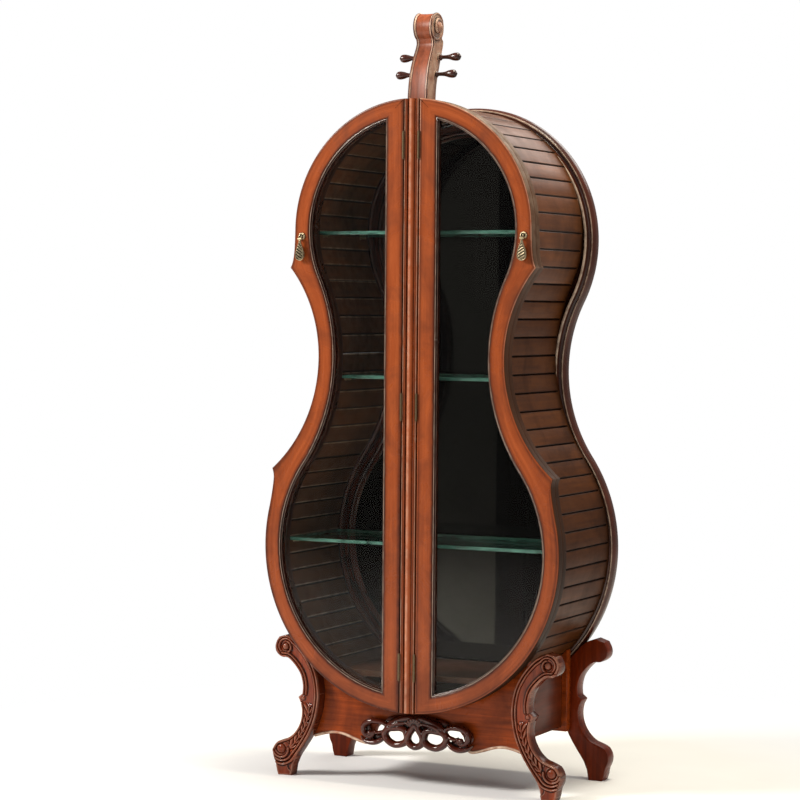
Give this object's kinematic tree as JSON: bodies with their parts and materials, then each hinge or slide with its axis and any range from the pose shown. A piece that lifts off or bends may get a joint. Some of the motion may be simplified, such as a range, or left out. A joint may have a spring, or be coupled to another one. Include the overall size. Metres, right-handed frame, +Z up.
{
  "type": "wine display cabinet",
  "caption": "Free-standing cello-shaped wine display cabinet with glazed doors hinged to a centre post, a slatted rounded case, glass shelves, a scroll and carved legs.",
  "frame": {"origin": "centre of the bounding box, on the floor under the feet", "axes": "+X to the cabinet's right as seen from the front, +Y from the front to the back, +Z up"},
  "size_m": [0.7398, 0.3716, 1.757],
  "materials": {
    "base_wood": "satin, warm red-brown",
    "block_wood": "raw",
    "door_glass": "clear",
    "frame_wood": "satin, warm red-brown",
    "hinge_bronze": "dark aged",
    "mirror": "polished",
    "moulding_wood": "gloss, dark red-brown",
    "neck_wood": "satin, red-brown",
    "panel_wood": "satin, dark brown",
    "peg_wood": "gloss, dark brown",
    "pin_brass": "satin",
    "pull_brass": "aged satin",
    "screw_brass": "satin",
    "shelf_glass": "clear with green edges",
    "slat_wood": "satin, dark brown",
    "steel": "satin"
  },
  "bodies": {
    "cabinet": {"centre_post": "frame_wood", "left_front_ring": "frame_wood", "right_front_ring": "frame_wood", "left_upper_slats": "slat_wood", "left_waist_slats": "slat_wood", "left_lower_slats": "slat_wood", "right_upper_slats": "slat_wood", "right_waist_slats": "slat_wood", "right_lower_slats": "slat_wood", "back_rim": "moulding_wood", "mirror_frame": "moulding_wood", "back_mirror": "mirror", "back_panel": "panel_wood", "rim_screws": "screw_brass", "floor_board": "panel_wood", "top_shelf": "shelf_glass", "middle_shelf": "shelf_glass", "lower_shelf": "shelf_glass", "shelf_pins": "pin_brass", "neck_and_scroll": "neck_wood", "upper_left_peg": "peg_wood", "lower_left_peg": "peg_wood", "upper_right_peg": "peg_wood", "lower_right_peg": "peg_wood", "front_apron": "base_wood", "pierced_ornament": "moulding_wood", "rear_apron": "base_wood", "left_side_rail": "base_wood", "right_side_rail": "base_wood", "corner_blocks": "block_wood", "left_front_leg": "base_wood", "right_front_leg": "base_wood", "left_rear_leg": "base_wood", "right_rear_leg": "base_wood", "post_hinge_leaves": "hinge_bronze", "hinge_pins": "hinge_bronze", "post_hinge_screws": "hinge_bronze", "door_magnets": "steel"},
    "left_door": {"left_door_frame": "frame_wood", "left_door_bead": "moulding_wood", "left_door_glass": "door_glass", "left_glass_stop": "moulding_wood", "left_door_hinge_leaves": "hinge_bronze", "left_door_hinge_screws": "hinge_bronze", "left_door_strikes": "steel", "left_pull_rosette": "pull_brass", "left_pull_pin": "pull_brass"},
    "right_door": {"right_door_frame": "frame_wood", "right_door_bead": "moulding_wood", "right_door_glass": "door_glass", "right_glass_stop": "moulding_wood", "right_door_hinge_leaves": "hinge_bronze", "right_door_hinge_screws": "hinge_bronze", "right_door_strikes": "steel", "right_pull_rosette": "pull_brass", "right_pull_pin": "pull_brass"},
    "left_drop": {"left_pull_drop": "pull_brass"},
    "right_drop": {"right_pull_drop": "pull_brass"}
  },
  "joints": [
    {"name": "left_door_hinge", "type": "hinge", "parent": "cabinet", "child": "left_door", "pos_m": [-0.0189, -0.1738, 0.8665], "axis": [0, 0, 1], "range_deg": [0, 80]},
    {"name": "right_door_hinge", "type": "hinge", "parent": "cabinet", "child": "right_door", "pos_m": [0.0189, -0.1738, 0.8665], "axis": [0, 0, -1], "range_deg": [0, 80]},
    {"name": "left_pull_swing", "type": "hinge", "parent": "left_door", "child": "left_drop", "pos_m": [-0.276, -0.1818, 1.245], "axis": [-1, 0, 0], "range_deg": [0, 60]},
    {"name": "right_pull_swing", "type": "hinge", "parent": "right_door", "child": "right_drop", "pos_m": [0.276, -0.1818, 1.245], "axis": [-1, 0, 0], "range_deg": [0, 60]}
  ]
}
